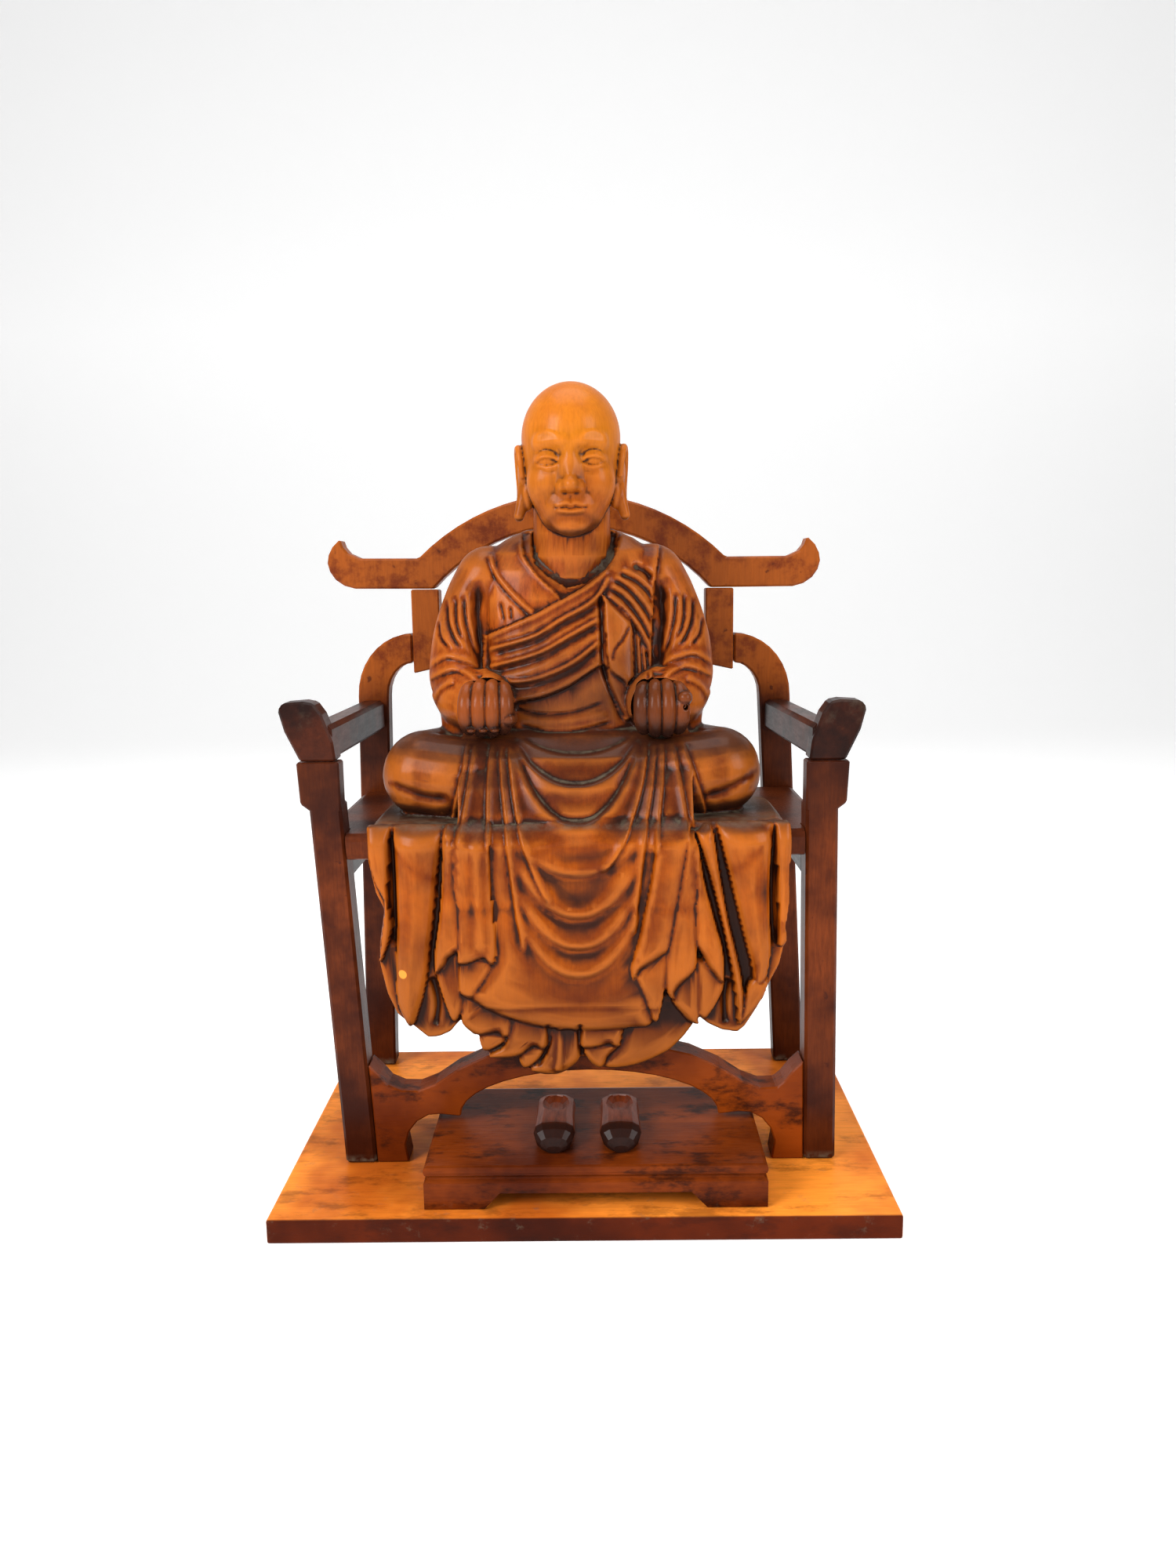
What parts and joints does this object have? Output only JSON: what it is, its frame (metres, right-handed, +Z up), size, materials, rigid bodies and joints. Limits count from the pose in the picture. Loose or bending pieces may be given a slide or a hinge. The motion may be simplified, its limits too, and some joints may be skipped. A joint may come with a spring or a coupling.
{
  "type": "seated monk figure",
  "caption": "Carved wooden monk with a shaved head, cross-legged on an armchair with a horned crest rail, with a draped robe, empty shoes on a footstool and a base board.",
  "frame": {"origin": "middle of the base board's underside", "axes": "+Z up, -Y towards the viewer who faces the figure, +X to that viewer's right"},
  "size_m": [0.25, 0.168, 0.3391],
  "materials": {
    "base_wood": "satin varnish, orange-brown stain",
    "frame_wood": "satin varnish, red-brown stain",
    "dark_wood": "satin varnish, dark brown stain",
    "robe_wood": "satin varnish, amber and red-brown stain, dust in the folds",
    "hand_wood": "satin varnish, near-black brown stain"
  },
  "bodies": {
    "root": {"base_board": "base_wood", "footstool": "base_wood", "shoe_left": "dark_wood", "shoe_right": "dark_wood", "front_apron": "base_wood", "front_post_left": "frame_wood", "front_post_right": "frame_wood", "rear_post_left": "frame_wood", "rear_post_right": "frame_wood", "back_stile_left": "frame_wood", "back_stile_right": "frame_wood", "crest_rail": "frame_wood", "armrest_left": "dark_wood", "armrest_right": "dark_wood", "seat_board": "frame_wood", "side_rail_left": "dark_wood", "side_rail_right": "dark_wood", "figure": "robe_wood", "hand_left": "hand_wood", "hand_right": "hand_wood"}
  },
  "joints": []
}
